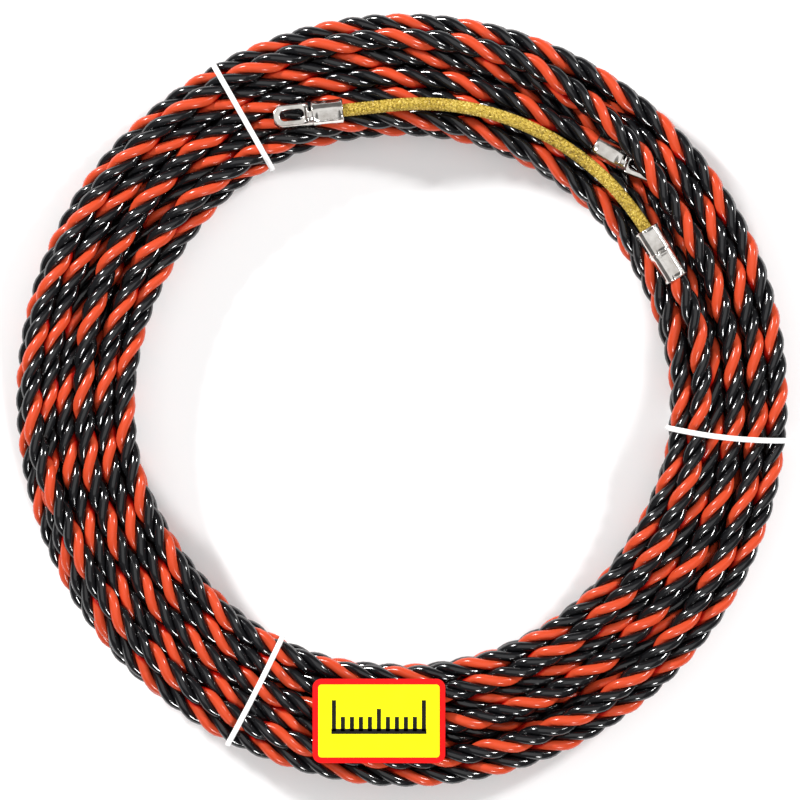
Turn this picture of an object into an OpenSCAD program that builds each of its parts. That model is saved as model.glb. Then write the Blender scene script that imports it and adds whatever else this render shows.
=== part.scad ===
// Fish tape: ten metres of three-strand twisted draw cord, hand-wound into a flat ring and held by
// three wire ties, with a braided flexible leader and a crimped eyelet head on each end.
// The ring lies flat: +Z is its axis, and the origin is on that axis, on the surface it rests on.

/* [Coil] */
// Radius of the middle of the bundle
coil_r = 94.9; // [90:0.1:110]
// Width of the bundle across its turns
bundle_w = 36; // [34:0.5:38]
// Height of the bundle
bundle_h = 20; // [19.5:0.1:20.5]
// Radius of the bundle's rounded edges
edge_r = 8; // [7:0.1:8.5]
// Diameter round the three twisted filaments of the cord
cord_d = 6.4; // [6.2:0.1:6.5]

/* [Leader] */
// Diameter of the braided sleeve of the leader
leader_d = 3.8; // [3.6:0.1:4]
// Diameter of the steel rope inside the sleeve
core_d = 2.4; // [1.6:0.1:2.8]
// Height of the leader's middle above the resting surface
leader_z = 19.8; // [19.6:0.1:20.2]

/* [Eyelet heads] */
// Outer diameter of a head
head_d = 7.2; // [7:0.1:7.6]
// Length of a head's crimped sleeve
sleeve_l = 10.6; // [9:0.1:11]
// Length of a head's eye, from the sleeve to the tip
eye_l = 9.6; // [9:0.1:10.5]
// Thickness of the eye between its two milled flats
eye_t = 3.6; // [3:0.1:4.5]
// Width of the oblong eye
eye_w = 3.2; // [2.8:0.1:3.6]
// Length of the oblong eye
eye_slot_l = 7; // [6:0.1:7.2]
// Width of the saw cut between sleeve and eye
cut_w = 0.8; // [0.6:0.1:1.2]
// Width of the metal that the saw cut leaves
cut_left = 3.9; // [3.4:0.1:4.2]

/* [Coupling ferrule] */
// Outer diameter round the leader
ferrule_big_d = 7.4; // [7.2:0.1:7.6]
// Outer diameter round the cord
ferrule_small_d = 7; // [6.8:0.1:7.2]
// Length of the half that grips the leader
ferrule_big_l = 8; // [7:0.5:8.5]
// Length of the half that grips the cord
ferrule_small_l = 9; // [8:0.5:9.5]

/* [Ties] */
// Width of a wire tie
tie_w = 1.6; // [1.2:0.1:2]
// Thickness of a wire tie
tie_t = 0.8; // [0.6:0.05:0.9]
// How much narrower and lower the bundle is on each side where a tie pulls it in
waist = 0.8; // [0.6:0.05:1]
// Half the angle of the pulled-in stretch round each tie
waist_a = 11; // [10:0.5:12]
// Where the ties sit round the ring
tie_angles = [119.5, 354, 243]; // [0:0.5:360]

/* [Label] */
// Length of the label card
label_l = 38.4; // [30:0.1:40]
// Width of the label card
label_w = 24.4; // [20:0.1:26]
// Thickness of the label card
label_t = 0.4; // [0.3:0.1:0.6]
// Middle of the label card
label_at = [-7, -92.8]; // [-100:0.1:100]

/* [Hidden] */
$fn = 64;

// play round a piece in the hollow that holds it, and between a tie and the bundle
play = 0.1;
tie_play = 0.2;
// how far joined lengths reach into each other, and how much slimmer the inner one is
lap = 0.4;
shy = 0.02;
// the bore that a crimped sleeve closes to round the cord, and the cord squeezed inside it
grip_d = 5.6;
squeezed_d = 5.5;
// the bundle where the ties pull it in: its width, how far its underside is lifted, and its height
waist_w = bundle_w - 2 * waist;
waist_z = tie_t + tie_play + play;
waist_h = bundle_h - waist_z - play;

// the leader follows one arc of the top turns, then runs straight into its head
arc_at = [5, 9];
arc_r = 76.7;
arc_a = [31.8, 96];
nose_dir = 186;
nose_run = 14.4;
leader_in = 7;              // how far the leader reaches into a sleeve
cord_in = 8;                // how far the cord reaches into a sleeve
arc_lo = arc_at + arc_r * [cos(arc_a[0]), sin(arc_a[0])];
arc_hi = arc_at + arc_r * [cos(arc_a[1]), sin(arc_a[1])];
head_at = arc_hi + nose_run * [cos(nose_dir), sin(nose_dir)];
ferrule_dir = arc_a[0] - 90;
ferrule_l = ferrule_big_l + ferrule_small_l;
ferrule_end = arc_lo + ferrule_l * [cos(ferrule_dir), sin(ferrule_dir)];
lead_run = 17;              // bare cord between the coupling ferrule and the turns
lead_dir = ferrule_dir - 10;
// the tail lies in a deeper groove of the turns, lower than the leader
tail_at = [55.7, 74.5];
tail_dir = -30;
tail_z = 14;
tail_bend = 9;              // how far the tail's eye is bent out from its sleeve
tail_run = 14;              // bare cord between the turns and the tail's sleeve
twist_d = 1.8;              // the twisted ends of a tie
twist_l = 7.5;
tail_room = 2.2;            // spare width of the tail's groove, for its bent eye
// the groove in the top turns: from and to this angle, between these radii, down to this height
groove_a = [12, 103];
groove_r = [81.7, 91.5];
groove_z = leader_z - head_d / 2 - 2 * play;
// how far each head is rolled about its own length, and how far its crimp flats and the ferrule's are turned
lead_roll = 184;
tail_roll = 8;
lead_flats = -21;
tail_flats = 7;
ferrule_flats = -8;

// a rectangle with round corners, standing on y = z0 and centred on x = 0
module rounded(w, h, r, z0) {
    translate([-w / 2 + r, z0]) square([w - 2 * r, h]);
    translate([-w / 2, z0 + r]) square([w, h - 2 * r]);
    for (x = [-1, 1], y = [r, h - r]) translate([x * (w / 2 - r), z0 + y]) circle(r);
}

// part of the ring, from angle a0 over da degrees
module ring(a0, da, w, h, r, z0) {
    rotate([0, 0, a0]) rotate_extrude(angle = da) translate([coil_r, 0]) rounded(w, h, r, z0);
}

// lays a piece modelled along +X on the point p at height z, pointing along direction a
module lay(p, z, a) {
    translate([p[0], p[1], z]) rotate([0, 0, a]) children();
}

// a round bar along +X from x0 over a length l
module bar(x0, l, d) {
    translate([x0, 0, 0]) rotate([0, 90, 0]) cylinder(h = l, d = d);
}

module tape_coil() {
    color("orangered") difference() {
        union() {
            ring(0, 360, waist_w, waist_h, edge_r - waist, waist_z);
            ring(tie_angles[1] + waist_a - 360, tie_angles[0] - tie_angles[1] + 360 - 2 * waist_a,
                 bundle_w, bundle_h, edge_r, 0);
            ring(tie_angles[0] + waist_a, tie_angles[2] - tie_angles[0] - 2 * waist_a,
                 bundle_w, bundle_h, edge_r, 0);
            ring(tie_angles[2] + waist_a, tie_angles[1] - tie_angles[2] - 2 * waist_a,
                 bundle_w, bundle_h, edge_r, 0);
        }
        // the groove of the leader, its coupling ferrule and the cord that leaves it
        rotate([0, 0, groove_a[0]]) rotate_extrude(angle = groove_a[1] - groove_a[0])
            translate([groove_r[0], groove_z]) square([groove_r[1] - groove_r[0], bundle_h]);
        // the groove of the lead head
        lay(head_at, groove_z, nose_dir) translate([-2, -head_d / 2 - play, 0])
            cube([sleeve_l + eye_l + 2.5, head_d + 2 * play, bundle_h]);
        // the deeper groove of the tail
        lay(tail_at, tail_z - head_d / 2 - play, tail_dir) translate([-tail_run, -head_d / 2 - play, 0])
            cube([tail_run + sleeve_l + eye_l + 1, head_d + tail_room, bundle_h]);
    }
}

// the cord between the coupling ferrule and the turns, squeezed where the ferrule grips it
module tape_lead_end() {
    color("orangered") {
        lay(ferrule_end, leader_z, ferrule_dir) bar(-cord_in, cord_in + 1.5, squeezed_d);
        lay(ferrule_end, leader_z, lead_dir) bar(0.7, lead_run - 0.7, cord_d);
    }
}

// the cord between the turns and the tail's head
module tape_tail_end() {
    color("orangered") lay(tail_at, tail_z, tail_dir) {
        bar(-tail_run, tail_run, cord_d);
        bar(-1, cord_in + 1, squeezed_d);
    }
}

// the leader's route at diameter d, reaching into the sleeves at both ends
module leader_run(d) {
    translate([arc_at[0], arc_at[1], leader_z]) rotate([0, 0, arc_a[0]])
        rotate_extrude(angle = arc_a[1] - arc_a[0]) translate([arc_r, 0]) circle(d = d);
    lay(arc_hi, leader_z, nose_dir) bar(-lap, nose_run + leader_in + lap, d - shy);
    lay(arc_lo, leader_z, ferrule_dir) bar(-lap, leader_in + lap, d - shy);
}

module leader_core() {
    color("dimgray") leader_run(core_d);
}

module leader_braid() {
    color("goldenrod") difference() {
        leader_run(leader_d);
        leader_run(core_d);
    }
}

// a sleeve's outside, round with four flats pressed into its middle
module crimped(l, d, turn) {
    difference() {
        bar(0, l, d);
        for (a = [0:90:270]) rotate([a + turn, 0, 0])
            translate([l * 0.14, -d, d * 0.44]) cube([l * 0.66, 2 * d, d]);
    }
}

// one eyelet head along +X: crimped sleeve, saw cut, then a flatted bar with a bevelled nose and an oblong eye
module head(bore_d, bend, turn) {
    neck = 1.6;
    nose_l = 1.6;
    step = 0.3;
    difference() {
        union() {
            crimped(sleeve_l - neck, head_d, turn);
            bar(sleeve_l - neck - 0.5, neck + 0.5, head_d);
        }
        bar(-1, cord_in + 1.05, bore_d);
        // saw cut from one side, which leaves the neck
        translate([sleeve_l - neck + 0.2, -head_d / 2 + cut_left, -head_d]) cube([cut_w, head_d, 2 * head_d]);
    }
    translate([sleeve_l, 0, 0]) rotate([0, 0, bend]) difference() {
        union() {
            bar(-lap, eye_l - nose_l + lap, head_d - step);
            translate([eye_l - nose_l, 0, 0]) rotate([0, 90, 0])
                cylinder(h = nose_l, d1 = head_d - step, d2 = head_d - step - 2 * nose_l);
        }
        for (x = [eye_w / 2, eye_slot_l - eye_w / 2]) translate([x + 0.8, 0, -head_d])
            cylinder(h = 2 * head_d, d = eye_w);
        translate([0.8 + eye_w / 2, -eye_w / 2, -head_d])
            cube([eye_slot_l - eye_w, eye_w, 2 * head_d]);
        for (z = [eye_t / 2, -eye_t / 2 - head_d]) translate([0.2, -head_d, z])
            cube([eye_l + 1, 2 * head_d, head_d]);
    }
}

module lead_eyelet_head() {
    color("silver") lay(head_at, leader_z, nose_dir) rotate([lead_roll, 0, 0])
        head(leader_d + play, 0, lead_flats);
}

module tail_eyelet_head() {
    color("silver") lay(tail_at, tail_z, tail_dir) rotate([tail_roll, 0, 0])
        head(grip_d, tail_bend, tail_flats);
}

// one tube in two widths, the wider half pressed round the leader and the other round the cord
module coupling_ferrule() {
    color("silver") lay(arc_lo, leader_z, ferrule_dir) difference() {
        union() {
            crimped(ferrule_big_l, ferrule_big_d, ferrule_flats);
            translate([ferrule_big_l - 0.5, 0, 0])
                crimped(ferrule_small_l + 0.5, ferrule_small_d, ferrule_flats);
        }
        bar(-1, leader_in + 1.05, leader_d + play);
        bar(ferrule_l - cord_in - 0.05, cord_in + 1, grip_d);
    }
}

// a flat wire tie round the bundle, its two ends twisted together under the inner edge
module tie(a) {
    in_w = waist_w + 2 * tie_play;
    in_h = waist_h + 2 * tie_play;
    in_r = edge_r - waist + tie_play;
    in_z = waist_z - tie_play;
    rotate([0, 0, a]) translate([coil_r, 0, 0]) rotate([90, 0, 0]) {
        translate([0, 0, -tie_w / 2]) linear_extrude(tie_w) difference() {
            rounded(in_w + 2 * tie_t, in_h + 2 * tie_t, in_r + tie_t, in_z - tie_t);
            rounded(in_w, in_h, in_r, in_z);
        }
        // the twisted ends, bent along the ring's lower inner edge
        translate([-bundle_w / 2 + edge_r, edge_r, 0]) rotate([0, 0, 225]) {
            rotate([0, 90, 0]) translate([0, 0, in_r + tie_t / 2]) cylinder(h = 1.4, d = tie_w - 0.2);
            translate([edge_r + twist_d / 2 + 0.3, 0, -twist_l]) cylinder(h = twist_l, d = twist_d);
        }
    }
}

module tie_upper() {
    color("white") tie(tie_angles[0]);
}

module tie_side() {
    color("white") tie(tie_angles[1]);
}

module tie_lower() {
    color("white") tie(tie_angles[2]);
}

// a plain card with round corners, stuck on the top turns
module length_label() {
    corner = 3;
    color("yellow") translate([label_at[0], label_at[1], bundle_h]) linear_extrude(label_t)
        translate([0, -label_w / 2]) rounded(label_l, label_w, corner, 0);
}

tape_coil();
tape_lead_end();
tape_tail_end();
leader_core();
leader_braid();
lead_eyelet_head();
coupling_ferrule();
tail_eyelet_head();
tie_upper();
tie_side();
tie_lower();
length_label();
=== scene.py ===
from math import cos, pi, radians, sin

import bmesh
import bpy
import numpy as np
from mathutils import Matrix, Vector


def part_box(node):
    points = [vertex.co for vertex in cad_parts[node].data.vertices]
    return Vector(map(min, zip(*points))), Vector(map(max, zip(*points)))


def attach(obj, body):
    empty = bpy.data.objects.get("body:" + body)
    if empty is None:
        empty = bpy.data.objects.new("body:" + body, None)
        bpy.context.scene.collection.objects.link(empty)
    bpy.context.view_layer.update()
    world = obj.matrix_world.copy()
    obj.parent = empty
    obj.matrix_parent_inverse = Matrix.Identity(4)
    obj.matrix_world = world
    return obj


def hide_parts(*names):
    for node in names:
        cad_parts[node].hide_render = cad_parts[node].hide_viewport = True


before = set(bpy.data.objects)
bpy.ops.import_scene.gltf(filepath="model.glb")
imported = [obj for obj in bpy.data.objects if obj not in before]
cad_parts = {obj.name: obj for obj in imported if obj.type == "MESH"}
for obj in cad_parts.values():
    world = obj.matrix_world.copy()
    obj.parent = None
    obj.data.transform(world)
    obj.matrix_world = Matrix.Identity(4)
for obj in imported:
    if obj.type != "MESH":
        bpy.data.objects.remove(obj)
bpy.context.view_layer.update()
mm = 0.001
print("frame loaded")


# the camera looks straight down on the ring
viewOf = {"height": 1.3, "across": 0.2328, "aimX": -0.0009, "aimY": 0.0, "sensor": 36.0, "aimHeight": 0.6}


def makeCamera(view):
    data = bpy.data.cameras.new("aboveTheRing")
    data.sensor_width = view["sensor"]
    data.lens = view["sensor"] * view["height"] / view["across"]
    camera = bpy.data.objects.new("aboveTheRing", data)
    bpy.context.scene.collection.objects.link(camera)
    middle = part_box("tape_coil")[1][2] * view["aimHeight"]
    camera.location = (view["aimX"], view["aimY"], view["height"] + middle)
    bpy.context.scene.camera = camera


makeCamera(viewOf)


# shader maths written as sums
class Wire:
    def __init__(self, finish, socket):
        self.finish, self.socket = finish, socket

    def __add__(self, other):
        return self.finish.maths("ADD", self, other)

    def __mul__(self, other):
        return self.finish.maths("MULTIPLY", self, other)

    def __sub__(self, other):
        return self.finish.maths("SUBTRACT", self, other)

    def __rsub__(self, other):
        return self.finish.maths("SUBTRACT", other, self)

    def __truediv__(self, other):
        return self.finish.maths("DIVIDE", self, other)

    def __rtruediv__(self, other):
        return self.finish.maths("DIVIDE", other, self)

    __radd__, __rmul__ = __add__, __mul__


class Finish:
    def __init__(self, name):
        self.material = bpy.data.materials.new(name)
        self.material.use_nodes = True
        self.tree = self.material.node_tree
        self.tree.nodes.clear()

    def node(self, kind, settings=None, inputs=None, out=0):
        made = self.tree.nodes.new(kind)
        for key, value in (settings or {}).items():
            if key == "stops":
                ramp = made.color_ramp
                while len(ramp.elements) < len(value):
                    ramp.elements.new(0.5)
                for element, (place, tone) in zip(ramp.elements, value):
                    element.position = place
                    element.color = tone
            else:
                setattr(made, key, value)
        for key, value in (inputs or {}).items():
            if isinstance(value, Wire):
                self.tree.links.new(value.socket, made.inputs[key])
            else:
                made.inputs[key].default_value = value
        return Wire(self, made.outputs[out]) if len(made.outputs) else None

    def maths(self, operation, *values):
        return self.node("ShaderNodeMath", {"operation": operation}, dict(enumerate(values)))

    def place(self):
        return self.node("ShaderNodeTexCoord", out="Object")

    def noise(self, vector, scale, detail=2.0):
        return self.node("ShaderNodeTexNoise", {"noise_dimensions": "3D"},
                         {"Vector": vector, "Scale": scale, "Detail": detail, "Roughness": 0.5})

    def ramp(self, value, stops):
        return self.node("ShaderNodeValToRGB", {"stops": stops}, {"Fac": value})

    def bump(self, height, strength, distance):
        inputs = {"Height": height, "Strength": strength, "Distance": distance}
        return self.node("ShaderNodeBump", None, inputs)

    def surface(self, **inputs):
        named = {key.replace("_", " "): value for key, value in inputs.items()}
        shader = self.node("ShaderNodeBsdfPrincipled", None, named)
        self.node("ShaderNodeOutputMaterial", None, {"Surface": shader})
        return self.material


def colour(r, g, b):
    return (r, g, b, 1.0)


# filaments: glossy extruded polyester, with painted light and shade in their colour: lighter on each strand's
# crown, painted shade at its sides and in the hollows between the strands
redRod = {
    "hollow": colour(0.055, 0.0003, 0.0002), "side": colour(0.38, 0.004, 0.0015),
    "crown": colour(0.57, 0.062, 0.021),
    "roughness": 0.20, "shine": 0.26, "mottle": 0.24,
}
# the black's hollow and sides carry a red tint: a painted reflection of the red strand beside them
blackRod = {
    "hollow": colour(0.003, 0.0002, 0.0002), "side": colour(0.003, 0.001, 0.001),
    "crown": colour(0.005, 0.005, 0.006),
    "roughness": 0.13, "shine": 0.62, "mottle": 0.5,
}


def rodFinish(name, rod):
    f = Finish(name)
    where = f.place()
    attribute = {"attribute_type": "GEOMETRY", "attribute_name": "crown"}
    crown = f.node("ShaderNodeAttribute", attribute, out=2)
    cloud = f.noise(where, 310.0, 3.0)
    grain = f.noise(where, 2600.0, 2.0)
    # the ramp paints shade into each strand's hollows and sides and painted light onto its crown
    stops = [(0.42, rod["hollow"]), (0.76, rod["side"]), (0.98, rod["crown"])]
    tint = f.ramp(crown + (cloud - 0.5) * rod["mottle"], stops)
    return f.surface(Base_Color=tint, Roughness=grain * 0.10 + (rod["roughness"] - 0.05),
                     Normal=f.bump(grain, 0.10, 0.00004), Specular_IOR_Level=rod["shine"])


# the cord is wound clockwise, seen from above, from the coupling ferrule to the tail's head
coil = {
    "turns": 16.9183, "firstAngle": 23.8, "stations": 120, "seed": 7, "rounds": 700,
    "meanRadius": 94.9, "bundleWidth": 36.0, "edgeRadius": 8.0,
    # the places of the turns across the bundle, as column and row, in the order they are laid
    "places": [(1, 2), (0, 1), (0, 0), (1, 1), (1, 0), (2, 0), (2, 1), (3, 1), (3, 0), (4, 0), (4, 1),
               (5, 1), (5, 0), (6, 0), (6, 1), (5, 2), (3, 2)],
    "middleColumn": 3, "columnStep": 4.95, "firstRow": 3.4, "rowStep": 6.4,
    # one turn moves to its next place late and quickly
    "lateTurn": 15, "lateMiddle": 0.93, "lateSpread": 0.12,
    # how far, and over how many stations, the turns stray: axis, reach, width
    "drifts": ((0, 1.9, 14), (1, 1.3, 14), (0, 0.7, 5)), "lowDrift": 0.35,
    "touching": 5.9, "wallGap": 3.2, "beside": 2.95, "stiff": 3.2,
    "follow": 0.25, "settle": 0.03, "push": 0.35, "shove": 0.8, "eased": 4,
    # one turn passes over the tail's eye: angle, distance from the mean radius, height
    "overTail": [(56, 6.0, 16.9), (53, 5.6, 17.1), (50, 5.1, 17.6), (47, 4.3, 18.4), (44, 3.3, 19.0),
                 (41, 2.2, 19.1), (38, 1.4, 18.5), (35, 1.0, 17.7), (32, 1.1, 17.1), (29, 1.5, 16.9)],
    # the first and the last stations: radius, and how far below the fitting
    "fromFerrule": [(86.5, 0.0), (87.1, 0.0), (87.5, 0.15), (87.6, 0.6), (87.5, 1.3), (87.2, 2.0),
                    (86.9, 2.7), (86.5, 3.1)],
    "intoTail": [(93.0, 0.0), (92.4, 0.0), (92.0, 0.0), (91.8, 0.05), (91.9, 0.1), (92.2, 0.15)],
    # the ties draw the bundle in
    "waistAngles": (119.5, 354.0, 243.0), "waist": 0.8, "waistHalf": 10.0, "waistEase": 10.0,
    "waistLift": 1.1, "roofDrop": 0.1,
}
leader = {
    "arcCentre": (5.0, 9.0), "arcRadius": 76.7, "arcFrom": 31.8, "arcTo": 96.0, "height": 19.8,
    "noseDirection": 186.0, "noseRun": 14.4, "diameter": 3.8, "intoSleeve": 7.0, "headLength": 20.2,
    "headRadius": 3.6,
}
tail = {
    "at": (55.7, 74.5), "direction": -30.0, "height": 14.0, "sleeve": 10.6, "eye": 9.6, "bend": 9.0,
    "sleeveRadius": 3.6, "railRadius": 1.9,
}
cord = {
    "diameter": 6.46, "rod": 2.94, "rodCentre": 1.74, "lay": 20.9, "layWander": 0.06, "wanderSeed": 11,
    "ringsPerLay": 14, "sides": 10, "intoSleeve": 5.0, "squeezed": 0.76,
    # how much painted shade darkens a strand where it lies against another turn, and over what distance
    "creviceShade": 0.45, "darkFrom": 3.0, "darkTo": 4.5,
}
ferrule = {
    "length": 17.0, "wideLength": 8.0, "wide": 7.4, "narrow": 7.0, "bore": 5.6, "turn": -8.0, "seam": 108.0,
    "seamDepth": 0.25, "pressed": 0.44, "segments": 72,
}


def ease(x):
    x = np.clip(x, 0, 1)
    return x * x * (3 - 2 * x)


def apart(a, b):
    return (a - b + 180) % 360 - 180


def bell(width, reach):
    weights = np.exp(-0.5 * (np.arange(-reach, reach + 1) / width) ** 2)
    return weights / weights.sum()


def towards(angle):
    return np.array([cos(radians(angle)), sin(radians(angle))])


def fittingRoutes():
    # where the pieces lie that the turns make room for: points along each, its radius and height
    centre, z = np.array(leader["arcCentre"]), leader["height"]
    angles = np.linspace(leader["arcFrom"], leader["arcTo"], 40)
    arc = [centre + leader["arcRadius"] * towards(a) for a in angles]
    nose = towards(leader["noseDirection"])
    head = arc[-1] + leader["noseRun"] * nose
    run = [arc[-1] + t * (head - arc[-1]) for t in np.linspace(0, 1, 8)]
    headRun = [head + t * nose for t in np.linspace(0, leader["headLength"], 14)]
    tube = [arc[0] + t * towards(leader["arcFrom"] - 90) for t in np.linspace(0, ferrule["length"], 12)]
    start, along = np.array(tail["at"]), towards(tail["direction"])
    sleeve = [start + t * along for t in np.linspace(0, tail["sleeve"], 8)]
    rails = []
    for aside in (-tail["railRadius"], tail["railRadius"]):
        across = aside * towards(tail["direction"] + tail["bend"] + 90)
        eye = towards(tail["direction"] + tail["bend"])
        rails.append([sleeve[-1] + across + t * eye for t in np.linspace(0, tail["eye"], 8)])
    ways = [(arc + run, leader["diameter"] / 2, z), (headRun, leader["headRadius"], z),
            (tube, ferrule["wide"] / 2, z), (sleeve, tail["sleeveRadius"], tail["height"])]
    ways += [(rail, tail["railRadius"], tail["height"]) for rail in rails]
    return [(np.array(points), radius, height) for points, radius, height in ways]


def firstPlaces(c, n, rng):
    # each station's place across the bundle before it settles: across and up
    places = np.array([((col - c["middleColumn"]) * c["columnStep"],
                        c["firstRow"] + c["rowStep"] * (row + (0 if col % 2 else 0.5)))
                       for col, row in c["places"]])
    last = len(places) - 1
    t = np.arange(n + 1) / c["stations"]
    k = np.clip(t, 0, last + 1 - 1e-6).astype(int)
    middle, spread = rng.uniform(0.25, 0.75, last + 1), rng.uniform(0.25, 0.6, last + 1)
    middle[c["lateTurn"]] = c["lateMiddle"]
    spread[c["lateTurn"]] = c["lateSpread"]
    over = ease((t - k - middle[k]) / spread[k] + 0.5)[:, None]
    y = places[k] * (1 - over) + places[np.minimum(k + 1, last)] * over
    # the turns stray from their places, the lowest ones least
    loose = np.where(places[k][:, 1] < c["rowStep"], c["lowDrift"], 1.0)
    loose = np.convolve(np.pad(loose, 30, mode="edge"), bell(10, 30), "valid")
    for axis, reach, width in c["drifts"]:
        drift = np.convolve(rng.normal(0, 1, n + 1), bell(width, 3 * width), "same")
        y[:, axis] += drift / drift.std() * reach * loose
    return y


def inTheWay(c, angle):
    # what lies in the way at each station of a turn: station, across, up and how far to stay off
    ways = []
    for points, radius, z in fittingRoutes():
        theta, r = np.degrees(np.arctan2(points[:, 1], points[:, 0])), np.hypot(points[:, 0], points[:, 1])
        first, final = min(theta), max(theta)
        rank = np.argsort(theta)
        for i in range(c["stations"]):
            a = angle[i] % 360
            if first - 1 <= a <= final + 1:
                across = np.interp(a, theta[rank], r[rank]) - c["meanRadius"]
                ways.append((i, across, z, radius + c["beside"]))
    return ways


def windTurns(c):
    rng = np.random.default_rng(c["seed"])
    n, per = int(round(c["turns"] * c["stations"])), c["stations"]
    angle = c["firstAngle"] - np.arange(n + 1) * (c["turns"] * 360 / n)
    y = firstPlaces(c, n, rng)
    # the space the bundle may fill, drawn in at the ties
    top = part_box("tape_coil")[1][2] / mm
    near = np.min([np.abs(apart(angle, a)) for a in c["waistAngles"]], axis=0)
    pull = 1 - ease((near - c["waistHalf"]) / c["waistEase"])
    halfWide = c["bundleWidth"] / 2 - c["waist"] * pull - c["wallGap"]
    floorZ, roofZ = c["wallGap"] + c["waistLift"] * pull, top - c["roofDrop"] * pull - c["wallGap"]
    halfHigh, midZ = (roofZ - floorZ) / 2, (roofZ + floorZ) / 2
    corner = c["edgeRadius"] - c["waist"] * pull - c["wallGap"]
    ways = inTheWay(c, angle)
    r0 = c["meanRadius"]
    pins = [(i, r - r0, leader["height"] - down) for i, (r, down) in enumerate(c["fromFerrule"])]
    pins += [(n - i, r - r0, tail["height"] - down) for i, (r, down) in enumerate(c["intoTail"])]
    for a, x, z in c["overTail"]:
        pins.append((int(round((c["firstAngle"] - a + 360 * 16) / 360 * per)), x, z))
    stiff = bell(c["stiff"], 9)
    passes = int(np.ceil((n + 1) / per))
    sheet = np.full((passes * per, 2), np.nan)
    for _ in range(c["rounds"]):
        # the cord straightens itself and sinks
        ends = np.concatenate([2 * y[0] - y[9:0:-1], y, 2 * y[-1] - y[-2:-11:-1]])
        smooth = np.stack([np.convolve(ends[:, i], stiff, "valid") for i in (0, 1)], axis=1)
        y += c["follow"] * (smooth - y)
        y[:, 1] -= c["settle"]
        # turns that are too near push each other off
        sheet[:n + 1] = y
        grid = sheet.reshape(passes, per, 2)
        gap = np.nan_to_num(grid[:, None] - grid[None], nan=1e3)
        length = np.maximum(np.hypot(gap[..., 0], gap[..., 1]), 1e-9)
        press = np.where((length < c["touching"]) & (length > 1e-6), c["touching"] / length - 1, 0)
        touched = np.sqrt(np.maximum((press > 0).sum(axis=1), 1))[..., None]
        move = (press[..., None] * gap).sum(axis=1) * c["push"] / touched
        y += move.reshape(-1, 2)[:n + 1]
        for i, x, z, reach in ways:
            rows = np.arange(i, n + 1, per)
            away = y[rows] - (x, z)
            length = np.maximum(np.hypot(away[:, 0], away[:, 1]), 1e-6)
            y[rows] += away / length[:, None] * np.maximum(reach - length, 0)[:, None] * c["shove"]
        # nothing leaves the bundle
        dx, dz = y[:, 0], y[:, 1] - midZ
        qx = np.maximum(np.abs(dx) - (halfWide - corner), 0)
        qz = np.maximum(np.abs(dz) - (halfHigh - corner), 0)
        length = np.maximum(np.hypot(qx, qz), 1e-9)
        out = np.maximum(length - corner, 0) / length
        y -= np.stack([np.sign(dx) * qx * out, np.sign(dz) * qz * out], axis=1)
        for i, x, z in pins:
            y[i] = (x, z)
    # the last of the sharp bends are smoothed out
    for _ in range(c["eased"]):
        y[1:-1] += 0.25 * (y[2:] + y[:-2] - 2 * y[1:-1])
    r, a = r0 + y[:, 0], np.radians(angle)
    return np.stack([r * np.cos(a), r * np.sin(a), y[:, 1]], axis=1)


def alongLine(points, step):
    # points at even steps on the smooth line through the given ones
    n = len(points)
    padded = np.concatenate([[2 * points[0] - points[1]], points, [2 * points[-1] - points[-2]]])
    t = np.linspace(0, n - 1, n * 8)
    i = np.clip(t.astype(int), 0, n - 2)
    f = (t - i)[:, None]
    a, b, c, d = (padded[i + j] for j in range(4))
    bend, twist = 2 * a - 5 * b + 4 * c - d, 3 * b - a - 3 * c + d
    fine = 0.5 * (2 * b + (c - a) * f + bend * f ** 2 + twist * f ** 3)
    run = np.concatenate([[0], np.cumsum(np.linalg.norm(np.diff(fine, axis=0), axis=1))])
    at = np.linspace(0, run[-1], int(run[-1] / step) + 1)
    return np.stack([np.interp(at, run, fine[:, j]) for j in range(3)], axis=1), at


def tubesAlong(name, lines, radius, sides, shade=None):
    # round tubes on several lines, from one bevelled curve made a mesh; shade gives each point's value of
    # painted light and shade, lit on the crown and shaded in the hollows
    curve = bpy.data.curves.new(name, "CURVE")
    curve.dimensions = "3D"
    curve.bevel_depth = radius * mm
    curve.bevel_resolution = sides // 2 - 2
    curve.use_fill_caps = True
    for line in lines:
        spline = curve.splines.new("POLY")
        spline.points.add(len(line) - 1)
        spline.points.foreach_set("co", np.c_[line * mm, np.ones(len(line))].ravel())
    holder = bpy.data.objects.new(name + "Line", curve)
    bpy.context.scene.collection.objects.link(holder)
    seen = holder.evaluated_get(bpy.context.evaluated_depsgraph_get())
    mesh = bpy.data.meshes.new_from_object(seen)
    bpy.data.objects.remove(holder)
    if shade is not None:
        spots, count = np.empty(len(mesh.vertices) * 3), len(lines[0]) * sides
        mesh.vertices.foreach_get("co", spots)
        # each filament point's value of painted light and shade, lit on the crown and shaded in the hollows;
        # the end caps get a middle value
        crown = np.full(len(mesh.vertices), 0.5)
        crown[:count] = shade(spots[:count * 3].reshape(-1, sides, 3) / mm).ravel()
        mesh.attributes.new("crown", "FLOAT", "POINT").data.foreach_set("value", crown)
    # the end caps are welded on
    bm = bmesh.new()
    bm.from_mesh(mesh)
    bmesh.ops.remove_doubles(bm, verts=[v for v in bm.verts if v.is_boundary], dist=1e-6)
    bm.to_mesh(mesh)
    bm.free()
    mesh.name = name
    mesh.shade_smooth()
    piece = bpy.data.objects.new(name, mesh)
    bpy.context.scene.collection.objects.link(piece)
    return piece


def frameOf(points):
    # along the line, level across it, and the third way
    ahead = np.gradient(points, axis=0)
    ahead /= np.linalg.norm(ahead, axis=1)[:, None]
    side = np.cross((0.0, 0.0, 1.0), ahead)
    side /= np.linalg.norm(side, axis=1)[:, None]
    return ahead, side, np.cross(ahead, side)


def level(point, height):
    return np.array([point[0], point[1], height])


def ferruleEnds():
    # where the coupling ferrule starts round the leader and ends round the cord, and its direction
    start = np.array(leader["arcCentre"]) + leader["arcRadius"] * towards(leader["arcFrom"])
    direction = leader["arcFrom"] - 90
    return start, start + ferrule["length"] * towards(direction), direction


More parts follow.
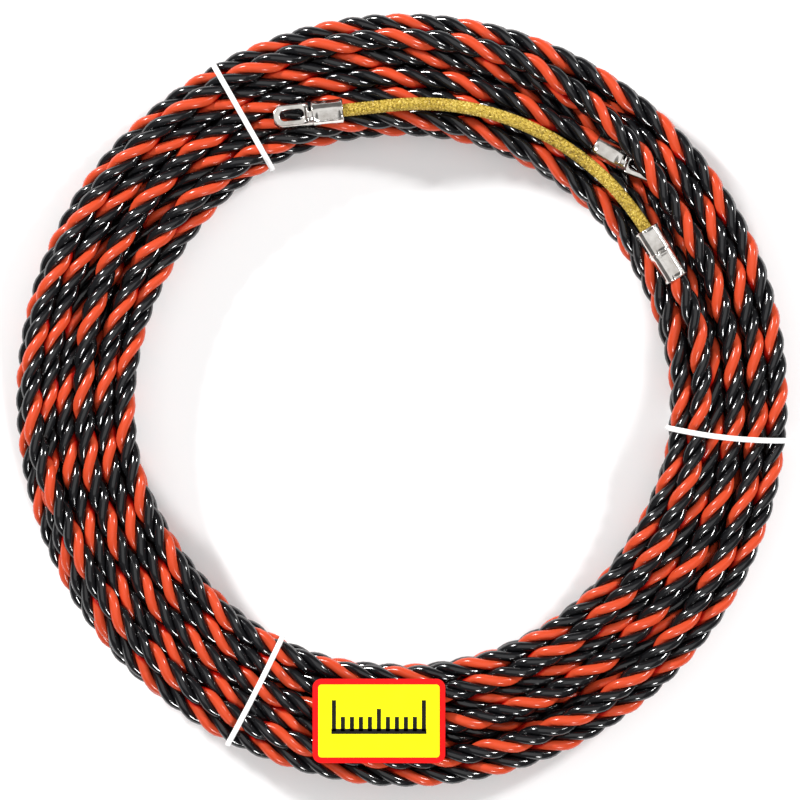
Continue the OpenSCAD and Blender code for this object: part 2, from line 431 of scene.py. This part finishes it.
centreline = windTurns(coil)
ferruleStart, ferruleStop, ferruleWay = ferruleEnds()
inside = (cord["intoSleeve"] / 2, cord["intoSleeve"])
inFerrule = [level(ferruleStop - t * towards(ferruleWay), leader["height"]) for t in inside[::-1]]
inTail = [level(np.array(tail["at"]) + t * towards(tail["direction"]), tail["height"]) for t in inside]
centreline = np.concatenate([inFerrule, centreline, inTail])
fine, run = alongLine(centreline, cord["lay"] / cord["ringsPerLay"])
print("turns wound,", round(run[-1] / 1000, 3), "m")

# the twist is a little tighter in some stretches than in others, and the sleeves squeeze the ends
wander = np.random.default_rng(cord["wanderSeed"])
slack = np.zeros(len(run))
for period in (900.0, 410.0, 230.0):
    slack += cord["layWander"] * period / cord["lay"] * np.sin(2 * pi * (run / period + wander.uniform())) / 3
fromEnd = np.minimum(run, run[-1] - run)
free = ease((fromEnd - cord["intoSleeve"] + 1) / 4)
offset = cord["rodCentre"] * (cord["squeezed"] + (1 - cord["squeezed"]) * free)

lapAngle = -np.unwrap(np.arctan2(fine[:, 1], fine[:, 0]))
lapRadius = np.hypot(fine[:, 0], fine[:, 1])


def toNextTurn(rings):
    # how far each point is from the nearest other turn's middle
    nearest = np.full(rings.shape[:2], 100.0)
    out, laps = np.hypot(rings[..., 0], rings[..., 1]), int(coil["turns"]) + 1
    for lap in list(range(-laps, 0)) + list(range(1, laps + 1)):
        r = np.interp(lapAngle + 2 * pi * lap, lapAngle, lapRadius, left=1000, right=1000)
        z = np.interp(lapAngle + 2 * pi * lap, lapAngle, fine[:, 2])
        nearest = np.minimum(nearest, np.hypot(out - r[:, None], rings[..., 2] - z[:, None]))
    return nearest


def crownOf(rings):
    # painted light and shade: 1 on the outside of the cord, less in its hollows, and darker still where it
    # lies against another turn, as painted shade between the turns
    out = np.linalg.norm(rings - fine[:, None], axis=2) / (cord["rodCentre"] + cord["rod"] / 2)
    near = 1 - ease((toNextTurn(rings) - cord["darkFrom"]) / (cord["darkTo"] - cord["darkFrom"]))
    return out * (1 - cord["creviceShade"] * near)


ahead, side, rise = frameOf(fine)
redFinish, blackFinish = rodFinish("redPolyester", redRod), rodFinish("blackPolyester", blackRod)
rods = [("red_filament", redFinish), ("black_filament_a", blackFinish), ("black_filament_b", blackFinish)]
for i, (name, finish) in enumerate(rods):
    turn = 2 * pi * (run / cord["lay"] + i / 3) + slack
    line = fine + (offset * np.cos(turn))[:, None] * side + (offset * np.sin(turn))[:, None] * rise
    piece = tubesAlong(name, [line], cord["rod"] / 2, cord["sides"], crownOf)
    piece.data.materials.append(finish)
    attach(piece, "coil")
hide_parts("tape_coil", "tape_lead_end", "tape_tail_end")
print("filaments twisted")


# the leader: a braided sleeve of paired yarns over a steel rope
braid = {
    "carriers": 8, "yarn": 0.27, "sides": 6, "yarnsApart": 0.50, "radius": 1.42, "weave": 0.19, "lay": 15.0,
    "steps": 4,
    "dark": colour(0.19, 0.12, 0.008), "gold": colour(0.50, 0.34, 0.030), "light": colour(0.72, 0.56, 0.12),
}


def leaderRoute(step):
    # from inside the coupling ferrule, round the arc, and into the lead head
    centre, z, reach = np.array(leader["arcCentre"]), leader["height"], leader["intoSleeve"]
    first = ferruleStart + towards(ferruleWay) * np.linspace(reach, 0.3, 10)[:, None]
    angles = np.linspace(leader["arcFrom"], leader["arcTo"], 60)
    arc = [centre + leader["arcRadius"] * towards(a) for a in angles]
    nose = towards(leader["noseDirection"])
    last = arc[-1] + nose * np.linspace(0.3, leader["noseRun"] + reach, 20)[:, None]
    flat = np.concatenate([first, arc, last])
    return alongLine(np.c_[flat, np.full(len(flat), z)], step)


def braidFinish(b):
    f = Finish("yellowBraid")
    where = f.place()
    fleck = f.noise(where, 1500.0, 2.0)
    broad = f.noise(where, 120.0, 2.0)
    stops = [(0.30, b["dark"]), (0.50, b["gold"]), (0.72, b["light"])]
    fuzz = f.bump(f.noise(where, 5200.0, 1.0), 0.3, 0.00005)
    return f.surface(Base_Color=f.ramp(fleck * 0.7 + broad * 0.3, stops), Roughness=fleck * 0.25 + 0.22,
                     Metallic=0.25, Normal=fuzz, Specular_IOR_Level=0.7)


def makeBraid(b):
    cell = b["lay"] / b["carriers"] / 2
    line, along = leaderRoute(cell / b["steps"])
    forward, across, upward = frameOf(line)
    lines = []
    for sense in (-1, 1):
        for k in range(b["carriers"]):
            for pair in (-0.5, 0.5):
                aside = pair * b["yarnsApart"] / b["radius"]
                turn = sense * 2 * pi * (along / b["lay"] + k / b["carriers"]) + aside
                # over one yarn and under the next
                beat = np.clip(1.5 * np.sin(pi * (along / cell + k) + (0 if sense > 0 else pi)), -1, 1)
                out = b["radius"] + b["weave"] * beat
                sideways, upwards = (out * np.cos(turn))[:, None], (out * np.sin(turn))[:, None]
                lines.append(line + sideways * across + upwards * upward)
    piece = tubesAlong("braid_sleeve", lines, b["yarn"], b["sides"])
    piece.data.materials.append(braidFinish(b))
    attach(piece, "coil")
    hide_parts("leader_braid")
    return piece, line, along[-1]


braidSleeve, leaderLine, leaderLength = makeBraid(braid)
print("leader braided,", round(leaderLength), "mm")


# the crimped fittings, nickel plated
nickelTone = {"low": colour(0.56, 0.52, 0.48), "high": colour(0.80, 0.77, 0.73), "roughness": 0.17}
head = {
    "diameter": 7.2, "sleeve": 9.2, "cut": 0.8, "neck": 3.9,
    "eyeLength": 10.2, "eyeDiameter": 6.9, "eyeThick": 3.6,
    "slotFrom": 1.4, "slotLength": 7.0, "slotWidth": 3.2, "nose": 1.6, "segments": 72,
    "flat": 0.44, "flatFrom": 1.4, "flatTo": 7.4, "markFrom": 3.4, "markTo": 6.2, "markDepth": 0.16,
    "seam": 135.0, "seamDepth": 0.22,
}
leadHead = {
    "name": "lead_head", "node": "lead_eyelet_head", "roll": 184.0, "bend": 0.0, "bore": 3.9, "turn": -21.0,
}
tailHead = {
    "name": "tail_head", "node": "tail_eyelet_head", "roll": 8.0, "bend": tail["bend"], "bore": 5.6,
    "turn": 7.0,
}


def nickelFinish(tone):
    f = Finish("nickelPlate")
    where = f.place()
    smudge = f.noise(where, 260.0, 3.0)
    drawn = f.node("ShaderNodeMapping", None, {"Vector": where, "Scale": (1.0, 1.0, 6.0)})
    streak = f.noise(drawn, 1300.0, 3.0)
    tint = f.ramp(smudge, [(0.32, tone["low"]), (0.62, tone["high"])])
    rough = smudge * 0.20 + streak * 0.10 + (tone["roughness"] - 0.12)
    dents = f.bump(streak + smudge, 0.25, 0.00006)
    return f.surface(Base_Color=tint, Metallic=1.0, Roughness=rough, Normal=dents)


def turned(bm, profile, segments):
    # a closed profile of (along, out) turned about X
    ring = [bm.verts.new((x, r, 0.0)) for x, r in profile]
    edges = [bm.edges.new((ring[i], ring[(i + 1) % len(ring)])) for i in range(len(ring))]
    bmesh.ops.spin(bm, geom=ring + edges, cent=(0, 0, 0), axis=(1, 0, 0), angle=2 * pi,
                   steps=segments, use_merge=True, use_duplicate=False)
    bmesh.ops.remove_doubles(bm, verts=bm.verts, dist=0.001)
    bmesh.ops.recalc_face_normals(bm, faces=bm.faces)


def sleeveProfile(start, stop, radius, bore, step=0.45, chamfer=0.3):
    # a tube's wall, with rows of points along the outside for the presses to move
    count = max(2, int((stop - start) / step))
    length = stop - start - 2 * chamfer
    outside = [(start + chamfer + length * i / count, radius) for i in range(count + 1)]
    return [(start, radius - chamfer)] + outside + [(stop, radius - chamfer), (stop, bore), (start, bore)]


def press(verts, start, stop, depth, directions, least, easing=0.7):
    # flats pressed into a round sleeve between two places, with a short run-in
    for v in verts:
        if start - easing < v.co.x < stop + easing and (v.co.y ** 2 + v.co.z ** 2) ** 0.5 > least:
            amount = min(1.0, (v.co.x - start + easing) / easing, (stop + easing - v.co.x) / easing)
            for a in directions:
                way = Vector((0.0, cos(radians(a)), sin(radians(a))))
                over = v.co.dot(way) - depth
                if over > 0:
                    v.co -= way * over * amount


def groove(verts, angle, start, stop, depth, least):
    # a seam: the nearest line of points pushed in
    for v in verts:
        out = (v.co.y ** 2 + v.co.z ** 2) ** 0.5
        if start < v.co.x < stop and out > least:
            here = np.degrees(np.arctan2(v.co.z, v.co.y))
            if abs(apart(here, angle)) < 2.6:
                v.co.y *= 1 - depth / out
                v.co.z *= 1 - depth / out


def softEdges(bm, width, segments=2, least=35.0):
    sharp = [e for e in bm.edges if len(e.link_faces) == 2 and e.calc_face_angle(0.0) > radians(least)]
    bmesh.ops.bevel(bm, geom=sharp, offset=width, offset_type="OFFSET", affect="EDGES",
                    segments=segments, profile=0.5, material=-1, clamp_overlap=True)


def eyeBar(h):
    # a round bar with a long eye through it and a blunt bevelled nose
    bm = bmesh.new()
    r, count = h["eyeDiameter"] / 2, 48
    inner = bmesh.ops.create_circle(bm, segments=count, radius=h["slotWidth"] / 2)["verts"]
    for v in inner:
        v.co.x += (h["slotLength"] - h["slotWidth"]) if v.co.x > 0.001 else 0.0
        v.co.x += h["slotFrom"] + h["slotWidth"] / 2
    outer = bmesh.ops.create_circle(bm, segments=count, radius=1.0)["verts"]
    for v in outer:
        # a circle pushed out to a box
        grow = 1 / max(abs(v.co.x), abs(v.co.y))
        v.co.x, v.co.y = h["eyeLength"] / 2 * (1 + v.co.x * grow), r * v.co.y * grow
    made = bmesh.ops.bridge_loops(bm, edges=bm.edges[:])
    across = [e for e in made["edges"] if e.is_valid]
    bmesh.ops.subdivide_edges(bm, edges=across, cuts=7, use_grid_fill=True)
    bmesh.ops.recalc_face_normals(bm, faces=bm.faces)
    lower = bm.verts[:]
    made = bmesh.ops.extrude_face_region(bm, geom=bm.faces[:])
    upper = {g for g in made["geom"] if isinstance(g, bmesh.types.BMVert)}
    for v in bm.verts:
        taper = max(0.0, v.co.x - (h["eyeLength"] - h["nose"])) / h["nose"] * 0.42
        y = max(-1.0, min(1.0, v.co.y / r))
        shoulder = max(0.0, 1 - max(0.0, v.co.x - 0.5) / 0.5)
        flat = h["eyeThick"] / 2 + (r - h["eyeThick"] / 2) * shoulder
        v.co.z = min(flat, r * max(0.0, 1 - y * y) ** 0.5 * (1 - taper)) * (1 if v in upper else -1)
        v.co.y *= 1 - taper
    bmesh.ops.remove_doubles(bm, verts=bm.verts, dist=0.002)
    bmesh.ops.recalc_face_normals(bm, faces=bm.faces)
    return bm


def gather(target, source, place=Matrix()):
    # adds one bmesh to another, moved by a matrix
    mesh = bpy.data.meshes.new("part")
    source.to_mesh(mesh)
    source.free()
    mesh.transform(place)
    target.from_mesh(mesh)
    bpy.data.meshes.remove(mesh)


def finished(name, bm, node, body, finish, place):
    mesh = bpy.data.meshes.new(name)
    bm.to_mesh(mesh)
    bm.free()
    mesh.transform(Matrix.Scale(mm, 4) @ place)
    piece = bpy.data.objects.new(name, mesh)
    bpy.context.scene.collection.objects.link(piece)
    mesh.shade_smooth()
    mesh.materials.append(finish)
    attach(piece, body)
    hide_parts(node)
    return piece


def lying(point, height, direction, roll=0.0):
    # the place of a fitting that is modelled along +X
    turn = Matrix.Rotation(radians(direction), 4, "Z") @ Matrix.Rotation(radians(roll), 4, "X")
    return Matrix.Translation((point[0], point[1], height)) @ turn


def makeHead(which, h, place):
    bm = bmesh.new()
    radius, wall = h["diameter"] / 2, which["bore"] / 2 + 0.2
    sleeve = bmesh.new()
    turned(sleeve, sleeveProfile(0.0, h["sleeve"], radius, which["bore"] / 2), h["segments"])
    flats = [which["turn"] + a for a in (0, 90, 180, 270)]
    depth = h["flat"] * h["diameter"]
    press(sleeve.verts, h["flatFrom"], h["flatTo"], depth, flats, wall)
    # the crimping die's own mark on one flat, and the seam of the rolled tube
    press(sleeve.verts, h["markFrom"], h["markTo"], depth - h["markDepth"], flats[2:3], wall, 0.3)
    groove(sleeve.verts, which["turn"] + h["seam"], 0.1, h["sleeve"] - 0.1, h["seamDepth"], wall)
    softEdges(sleeve, 0.10)
    gather(bm, sleeve)
    # the end wall of the sleeve, behind the cut
    end = bmesh.new()
    bmesh.ops.create_cone(end, cap_ends=True, segments=h["segments"], radius1=radius - 0.35,
                          radius2=radius - 0.35, depth=1.0)
    gather(bm, end, Matrix.Translation((h["sleeve"] - 0.55, 0, 0)) @ Matrix.Rotation(pi / 2, 4, "Y"))
    # the neck that the saw cut leaves
    neck = bmesh.new()
    bmesh.ops.create_cone(neck, cap_ends=True, segments=h["segments"], radius1=radius - 0.2,
                          radius2=radius - 0.2, depth=h["cut"] + 1.2)
    everything = neck.verts[:] + neck.edges[:] + neck.faces[:]
    bmesh.ops.rotate(neck, verts=neck.verts, matrix=Matrix.Rotation(pi / 2, 3, "Y"))
    cut = bmesh.ops.bisect_plane(neck, geom=everything, plane_co=(0, h["neck"] - radius, 0),
                                 plane_no=(0, 1, 0), clear_outer=True)
    rim = [g for g in cut["geom_cut"] if isinstance(g, bmesh.types.BMEdge)]
    bmesh.ops.holes_fill(neck, edges=rim)
    softEdges(neck, 0.08)
    gather(bm, neck, Matrix.Translation((h["sleeve"] + h["cut"] / 2, 0, 0)))
    eye = eyeBar(h)
    softEdges(eye, 0.16)
    bend = Matrix.Rotation(radians(which["bend"]), 4, "Z")
    gather(bm, eye, Matrix.Translation((h["sleeve"] + h["cut"], 0, 0)) @ bend)
    return finished(which["name"], bm, which["node"], "coil", nickel, place)


def makeFerrule(c, place):
    bm = bmesh.new()
    split, stop = c["wideLength"], c["length"]
    flats = [c["turn"] + a for a in (0, 90, 180, 270)]
    wide = bmesh.new()
    turned(wide, sleeveProfile(0.0, split, c["wide"] / 2, leader["diameter"] / 2 + 0.05), c["segments"])
    press(wide.verts, 1.0, split - 1.0, c["pressed"] * c["wide"], flats, 2.6)
    groove(wide.verts, c["seam"], 0.1, split - 0.1, c["seamDepth"], 2.6)
    softEdges(wide, 0.10)
    gather(bm, wide)
    narrow = bmesh.new()
    turned(narrow, sleeveProfile(split - 0.4, stop, c["narrow"] / 2, c["bore"] / 2), c["segments"])
    press(narrow.verts, split + 1.4, stop - 1.4, c["pressed"] * c["narrow"], flats, 3.0)
    groove(narrow.verts, c["seam"], split - 0.3, stop - 0.1, c["seamDepth"], 3.0)
    # the tick left by the crimping jaws beside the step
    press(narrow.verts, split + 0.35, split + 0.8, 0.40 * c["narrow"], (c["seam"] - 22,), 3.0, 0.3)
    softEdges(narrow, 0.10)
    gather(bm, narrow)
    return finished("coupling", bm, "coupling_ferrule", "coil", nickel, place)


nickel = nickelFinish(nickelTone)
headAt = leaderLine[-1] - leader["intoSleeve"] * np.append(towards(leader["noseDirection"]), 0)
leadPlace = lying(headAt, leader["height"], leader["noseDirection"], leadHead["roll"])
leadFitting = makeHead(leadHead, head, leadPlace)
tailPlace = lying(tail["at"], tail["height"], tail["direction"], tailHead["roll"])
tailFitting = makeHead(tailHead, head, tailPlace)
coupling = makeFerrule(ferrule, lying(ferruleStart, leader["height"], ferruleWay))
print("fittings crimped")


# the steel rope inside the leader, hardly seen between the yarns
def ropeFinish():
    f = Finish("steelRope")
    where = f.place()
    fleck = f.noise(where, 1800.0, 2.0)
    tint = f.ramp(fleck, [(0.35, colour(0.10, 0.09, 0.08)), (0.65, colour(0.45, 0.43, 0.40))])
    return f.surface(Base_Color=tint, Metallic=1.0, Roughness=fleck * 0.2 + 0.3,
                     Normal=f.bump(fleck, 0.4, 0.0001))


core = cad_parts["leader_core"]
core.data.materials.clear()
core.data.materials.append(ropeFinish())


# the wire ties: a thin ribbon with a wire along its middle, its two ends twisted together
tie = {
    "width": 1.6, "thick": 0.42, "rib": 0.8, "clear": 0.2, "hold": 0.03, "endTurns": 3.5, "endLength": 7.3,
    "endSize": 0.72, "tuck": 50.0, "shade": colour(0.80, 0.80, 0.79), "bright": colour(0.93, 0.93, 0.92),
}
tiePlaces = [
    {"name": "upper_band", "node": "tie_upper", "body": "upper_tie", "angle": 119.5, "bow": 0.0, "hook": 0.2},
    {"name": "side_band", "node": "tie_side", "body": "side_tie", "angle": 354.0, "bow": -1.1, "hook": 0.5},
    {"name": "lower_band", "node": "tie_lower", "body": "lower_tie", "angle": 243.0, "bow": 0.3, "hook": 0.9},
]


def tieFinish(t):
    f = Finish("whiteCoating")
    where = f.place()
    cloud = f.noise(where, 420.0, 3.0)
    tint = f.ramp(cloud, [(0.30, t["shade"]), (0.55, t["bright"])])
    wrinkles = f.bump(f.noise(where, 1900.0, 2.0), 0.15, 0.00005)
    return f.surface(Base_Color=tint, Roughness=cloud * 0.2 + 0.32, Normal=wrinkles)


def loopAround(halfWide, low, high, corner, arcs=10):
    # a closed rounded rectangle, (across, up), counter-clockwise from the middle of the underside
    mid = (low + high) / 2
    tall = (high - low) / 2
    points = [(0.0, low)]
    for quarter, (sx, sy) in enumerate(((1, -1), (1, 1), (-1, 1), (-1, -1))):
        for i in range(arcs + 1):
            a = radians(-90 + 90 * quarter + 90 * i / arcs)
            points.append((sx * (halfWide - corner) + corner * cos(a),
                           mid + sy * (tall - corner) + corner * sin(a)))
        if quarter == 1:
            points += [(x * (halfWide - corner) / 6, high) for x in range(5, -6, -1)]
    return points


def makeTie(which, t, finish):
    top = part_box("tape_coil")[1][2] / mm
    lift, gap = coil["waistLift"] - coil["roofDrop"], t["thick"] / 2 + t["hold"]
    outwards = t["clear"] + gap
    widest, middleHeight = coil["bundleWidth"] / 2 - coil["waist"] + outwards, (lift + top) / 2
    lowest, corner = lift - coil["roofDrop"] - gap, coil["edgeRadius"] - coil["waist"] + outwards
    outline = loopAround(widest, lowest, top - coil["roofDrop"] + outwards, corner)
    bm = bmesh.new()
    # the ribbon's section with its wire rib, carried round the loop
    half, thin, rib = t["width"] / 2, t["thick"] / 2, t["rib"] / 2
    section = [(-half, 0.0), (-half + 0.12, thin), (-rib, thin), (-rib * 0.6, rib * 0.9), (0.0, rib),
               (rib * 0.6, rib * 0.9), (rib, thin), (half - 0.12, thin), (half, 0.0),
               (half - 0.12, -thin), (0.0, -thin), (-half + 0.12, -thin)]
    count = len(outline)
    first, last = None, None
    for i, (x, z) in enumerate(outline):
        before, after = outline[i - 1], outline[(i + 1) % count]
        way = Vector((after[0] - before[0], 0.0, after[1] - before[1])).normalized()
        out = Vector((way.z, 0.0, -way.x))
        sag = which["bow"] * (1 - (x / widest) ** 2) if z > middleHeight else 0.0
        ring = [bm.verts.new(Vector((x, sag + s, z)) + out * o) for s, o in section]
        edges = [bm.edges.new((ring[k], ring[(k + 1) % len(ring)])) for k in range(len(ring))]
        if first is None:
            first = edges
        else:
            bmesh.ops.bridge_loops(bm, edges=last + edges)
        last = edges
    bmesh.ops.bridge_loops(bm, edges=last + first)
    bmesh.ops.recalc_face_normals(bm, faces=bm.faces)
    # the twisted ends leave the ribbon at its lower inner corner
    middle = Vector((-coil["bundleWidth"] / 2 + coil["edgeRadius"], 0, lowest + corner))
    tuck = Vector((-cos(radians(t["tuck"])), 0, -sin(radians(t["tuck"]))))
    root = middle + tuck * (corner + t["thick"] / 2 + t["endSize"])
    steps, spread = int(t["endTurns"] * 14), t["endSize"] / 2 * 0.98
    for strand in (0, 1):
        # each strand starts inside the ribbon
        beside = Vector((0, (strand - 0.5) * t["endSize"], 0))
        line = [middle + tuck * corner + beside, middle + tuck * (corner + t["endSize"] * 0.5) + beside]
        for i in range(steps + 1):
            share = i / steps
            a = 2 * pi * t["endTurns"] * share + pi * strand
            curl = Vector((-1, 0, 0.6)) * which["hook"] * share * share
            onward = Vector((cos(a) * spread, 0.5 + t["endLength"] * share, sin(a) * spread))
            line.append(root + curl + onward)
        loop = None
        for i, spot in enumerate(line):
            before, after = line[max(i - 1, 0)], line[min(i + 1, len(line) - 1)]
            turn = (after - before).to_track_quat("Z", "Y").to_matrix().to_4x4()
            ring = bmesh.ops.create_circle(bm, segments=8, radius=t["endSize"] / 2,
                                           matrix=Matrix.Translation(spot) @ turn)["verts"]
            edges = list({e for v in ring for e in v.link_edges})
            if loop is not None:
                bmesh.ops.bridge_loops(bm, edges=loop + edges)
            else:
                bm.faces.new(ring)
            loop = edges
        bm.faces.new(ring)
    bmesh.ops.recalc_face_normals(bm, faces=bm.faces)
    place = Matrix.Rotation(radians(which["angle"]), 4, "Z") @ Matrix.Translation((coil["meanRadius"], 0, 0))
    return finished(which["name"], bm, which["node"], which["body"], finish, place)


whiteCoating = tieFinish(tie)
for which in tiePlaces:
    makeTie(which, tie, whiteCoating)
print("ties twisted")


# the card on the top turns: yellow in a red border, with a plain scale on it
card = {
    "at": (-7.0, -92.8), "length": 38.4, "width": 24.4, "corner": 2.6, "thick": 0.4, "border": 1.6,
    "scaleLength": 26.0, "scaleHeight": -3.0, "ticks": 11, "bar": 1.5,
    "endTick": 9.0, "middleTick": 6.5, "tick": 4.2,
}


def cardFinish(name, one, two, roughness):
    f = Finish(name)
    where = f.place()
    cloud = f.noise(where, 160.0, 3.0)
    fibre = f.noise(where, 2600.0, 2.0)
    tint = f.ramp(cloud, [(0.35, one), (0.65, two)])
    return f.surface(Base_Color=tint, Roughness=fibre * 0.15 + roughness,
                     Normal=f.bump(fibre, 0.08, 0.00003), Specular_IOR_Level=0.22)


def makeCard(c):
    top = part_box("tape_coil")[1][2] / mm
    bm = bmesh.new()
    corners = bmesh.ops.create_grid(bm, x_segments=1, y_segments=1, size=0.5)["verts"]
    bmesh.ops.scale(bm, vec=(c["length"], c["width"], 1), verts=corners)
    bmesh.ops.bevel(bm, geom=corners, offset=c["corner"], offset_type="OFFSET", affect="VERTICES",
                    segments=8, profile=0.5, material=-1)
    field = max(bm.faces, key=lambda g: g.calc_area())
    under = bmesh.ops.extrude_face_region(bm, geom=[field], use_keep_orig=True)
    bmesh.ops.translate(bm, vec=(0, 0, c["thick"]),
                        verts=[g for g in under["geom"] if isinstance(g, bmesh.types.BMVert)])
    bmesh.ops.recalc_face_normals(bm, faces=bm.faces)
    softEdges(bm, 0.08)
    field = max((g for g in bm.faces if g.normal.z > 0.9), key=lambda g: g.calc_area())
    for g in bm.faces:
        g.material_index = 1
    rim = bmesh.ops.inset_region(bm, faces=[field], thickness=c["border"], depth=0.0)["faces"]
    field.material_index = 0
    for g in rim:
        g.material_index = 1
    # the printed scale: a bar and its ticks, a hair above the card
    marks = [(0.0, c["scaleHeight"], c["scaleLength"] + c["bar"], c["bar"])]
    final = c["ticks"] - 1
    for i in range(c["ticks"]):
        tall = {0: c["endTick"], final: c["endTick"], final // 2: c["middleTick"]}.get(i, c["tick"])
        x = c["scaleLength"] * (i / final - 0.5)
        marks.append((x, c["scaleHeight"] + tall / 2, c["bar"] * 0.8, tall))
    for markX, markY, wide, tall in marks:
        made = bmesh.ops.create_cube(bm, size=1.0)["verts"]
        bmesh.ops.scale(bm, vec=(wide, tall, 0.06), verts=made)
        bmesh.ops.translate(bm, vec=(markX, markY, c["thick"] + 0.012), verts=made)
        for g in {g for v in made for g in v.link_faces}:
            g.material_index = 2
    yellow = cardFinish("yellowInk", colour(0.94, 0.86, 0.0), colour(0.98, 0.92, 0.001), 0.32)
    red = cardFinish("redInk", colour(0.68, 0.001, 0.001), colour(0.76, 0.002, 0.002), 0.32)
    black = cardFinish("blackInk", colour(0.002, 0.002, 0.002), colour(0.005, 0.005, 0.005), 0.35)
    place = Matrix.Translation((*c["at"], top))
    piece = finished("length_card", bm, "length_label", "coil", yellow, place)
    piece.data.materials.append(red)
    piece.data.materials.append(black)
    piece.data.shade_flat()


makeCard(card)
print("card printed")


# floor and light
ground = {"size": 3.0, "shade": colour(0.93, 0.93, 0.93), "roughness": 0.9}
lamps = [
    {"name": "leftLamp", "at": (-1.1, 0.9, 0.85), "size": 0.20, "power": 30.0},
    {"name": "rightLamp", "at": (1.2, 0.8, 1.0), "size": 0.20, "power": 18.5},
    {"name": "lowLamp", "at": (0.5, -1.3, 1.0), "size": 0.30, "power": 16.0},
    {"name": "softAbove", "at": (0.0, 0.0, 1.9), "size": 2.4, "power": 14.0},
]
room = {"colour": (1, 1, 1, 1), "strength": 0.15}


def makeFloor(g):
    bm = bmesh.new()
    bmesh.ops.create_grid(bm, x_segments=1, y_segments=1, size=g["size"] / 2)
    mesh = bpy.data.meshes.new("floor")
    bm.to_mesh(mesh)
    bm.free()
    floor = bpy.data.objects.new("floor", mesh)
    bpy.context.scene.collection.objects.link(floor)
    mesh.materials.append(Finish("paleFloor").surface(Base_Color=g["shade"], Roughness=g["roughness"]))


def hangLamp(lamp):
    data = bpy.data.lights.new(lamp["name"], "AREA")
    data.size, data.energy = lamp["size"], lamp["power"]
    light = bpy.data.objects.new(lamp["name"], data)
    light.location = lamp["at"]
    light.rotation_euler = (-Vector(lamp["at"])).to_track_quat("-Z", "Y").to_euler()
    bpy.context.scene.collection.objects.link(light)


makeFloor(ground)
for lamp in lamps:
    hangLamp(lamp)
world = bpy.data.worlds.new("room")
world.use_nodes = True
glow = world.node_tree.nodes["Background"].inputs
glow["Color"].default_value = room["colour"]
glow["Strength"].default_value = room["strength"]
bpy.context.scene.world = world
bpy.context.scene.view_settings.view_transform = "Standard"
print("floor and light set")

bpy.context.view_layer.update()
